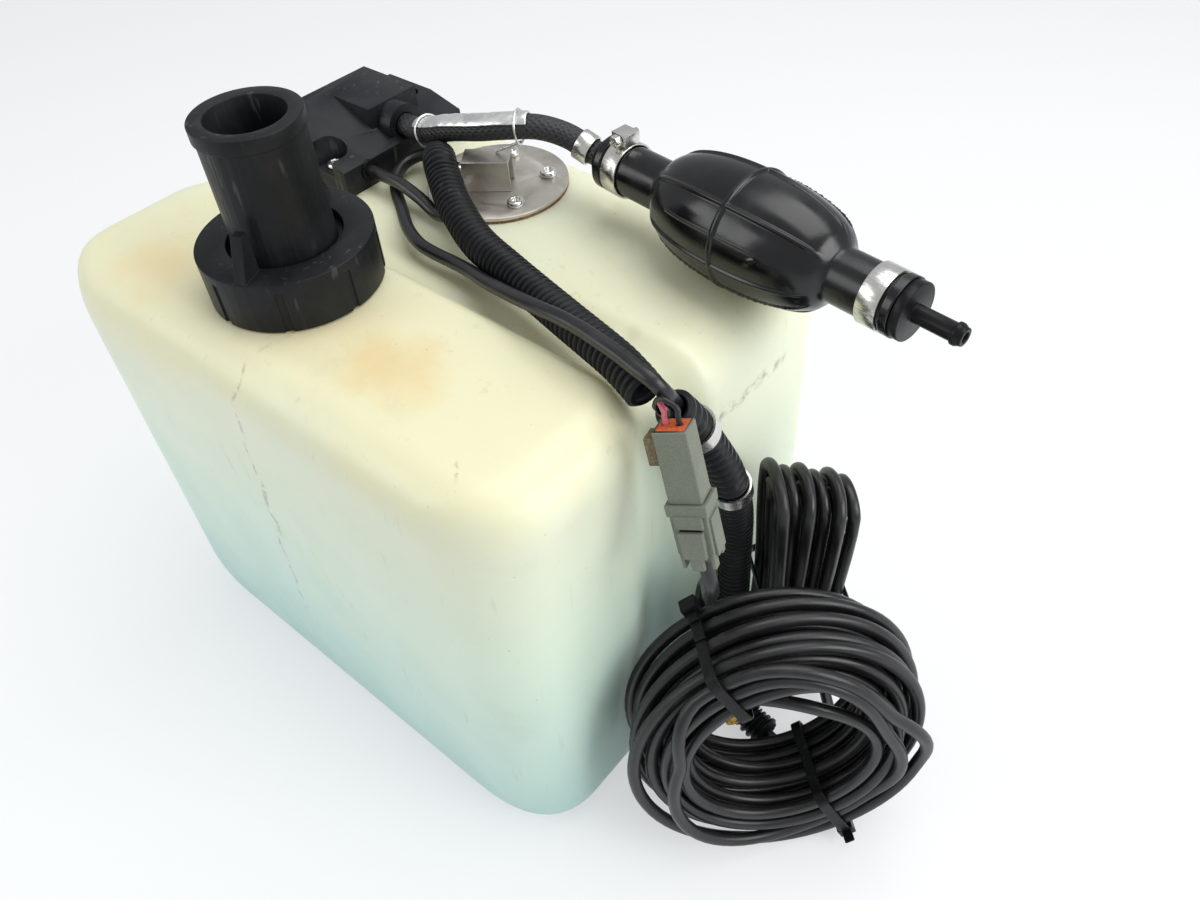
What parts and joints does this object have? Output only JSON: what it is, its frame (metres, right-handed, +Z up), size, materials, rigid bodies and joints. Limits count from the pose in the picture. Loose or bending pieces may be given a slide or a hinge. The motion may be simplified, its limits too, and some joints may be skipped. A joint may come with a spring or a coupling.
{
  "type": "outboard oil tank",
  "caption": "Moulded oil tank with a raised filler spout under a winged ring nut, a level sender, a suction pickup, a hose with a primer bulb, and a wiring harness coiled beside it.",
  "frame": {"origin": "centre of the tank's flat bottom, at the level it stands on", "axes": "+X towards the end with the connector and the coiled harness, +Y towards the side with the sender plate and the pickup, +Z up"},
  "size_m": [0.4079, 0.2128, 0.3084],
  "materials": {
    "tank_plastic": "semi-clear moulded plastic, stained and scuffed",
    "charcoal_plastic": "matte charcoal with wear",
    "cork": "brown cork and rubber sheet",
    "black_rubber": "moulded rubber, lightly worn",
    "steel": "dull bright steel",
    "black_plastic": "matte black",
    "cable_jacket": "satin black jacket",
    "grey_plastic": "grained grey-green",
    "bronze_clip": "dull bronze",
    "orange_seal": "soft orange silicone",
    "pink_jacket": "satin pink insulation",
    "red_sleeve": "red and yellow sleeves on bright eyes"
  },
  "bodies": {
    "tank": {"tank_body": "tank_plastic", "spout_gasket": "black_rubber", "pickup_gasket": "black_rubber", "pickup_flange": "charcoal_plastic", "pickup_cover": "charcoal_plastic", "cover_screws": "steel", "outlet_barb": "charcoal_plastic", "suction_tube": "charcoal_plastic", "suction_strainer": "steel", "float_stem": "steel", "stem_clip": "steel", "cable_gland": "charcoal_plastic", "plate_gasket": "cork", "sender_plate": "steel", "plate_screws": "steel", "hose_bracket": "steel", "oil_hose": "black_rubber", "hose_saddle": "steel", "saddle_wires": "steel", "hose_crimp_band": "steel", "bulb_inlet_fitting": "black_plastic", "primer_bulb": "black_rubber", "inlet_clamp_band": "steel", "inlet_clamp_housing": "steel", "outlet_clamp": "steel", "outlet_fitting": "black_plastic", "sensor_cable": "cable_jacket", "branch_cable": "cable_jacket", "upper_conduit": "black_plastic", "lower_conduit": "black_plastic", "conduit_bands": "black_plastic", "connector_receptacle": "grey_plastic", "connector_clip": "bronze_clip", "connector_seal": "orange_seal", "pink_wire": "pink_jacket", "black_wire": "cable_jacket", "connector_plug": "grey_plastic", "harness_lead": "cable_jacket", "harness_coil": "cable_jacket", "coil_ties": "black_plastic", "coil_terminals": "red_sleeve", "hank_lead": "cable_jacket", "cable_hank": "cable_jacket", "hank_tail": "cable_jacket", "hank_tie": "black_plastic", "hank_plug": "black_plastic"},
    "spout": {"filler_spout": "charcoal_plastic"},
    "ring": {"ring_nut": "charcoal_plastic"},
    "float": {"level_float": "black_plastic"},
    "inlet_disc": {"inlet_valve": "black_rubber"},
    "outlet_disc": {"outlet_valve": "black_rubber"},
    "worm": {"inlet_clamp_screw": "steel"}
  },
  "joints": [
    {"name": "spout_lift", "type": "slide", "parent": "tank", "child": "spout", "axis": [0, 0, 1], "range_m": [0, 0.01]},
    {"name": "ring_turn", "type": "hinge", "parent": "spout", "child": "ring", "pos_m": [-0.022, -0.049, 0.25], "axis": [0, 0, 1], "range_deg": [0, 720]},
    {"name": "float_rise", "type": "slide", "parent": "tank", "child": "float", "axis": [0, 0, 1], "range_m": [0, 0.12]},
    {"name": "inlet_valve_slide", "type": "slide", "parent": "tank", "child": "inlet_disc", "axis": [0.9921, -0.1253, 0], "range_m": [0, 0.003]},
    {"name": "outlet_valve_slide", "type": "slide", "parent": "tank", "child": "outlet_disc", "axis": [0.9921, -0.1253, 0], "range_m": [0, 0.003]},
    {"name": "clamp_screw_turn", "type": "hinge", "parent": "tank", "child": "worm", "pos_m": [0.0568, 0.07288, 0.2681], "axis": [0.1253, 0.9921, 0], "continuous": true}
  ],
  "couplings": [
    {"joint": "spout_lift", "follows": "ring_turn", "m_per_rad": 0.00079577}
  ]
}
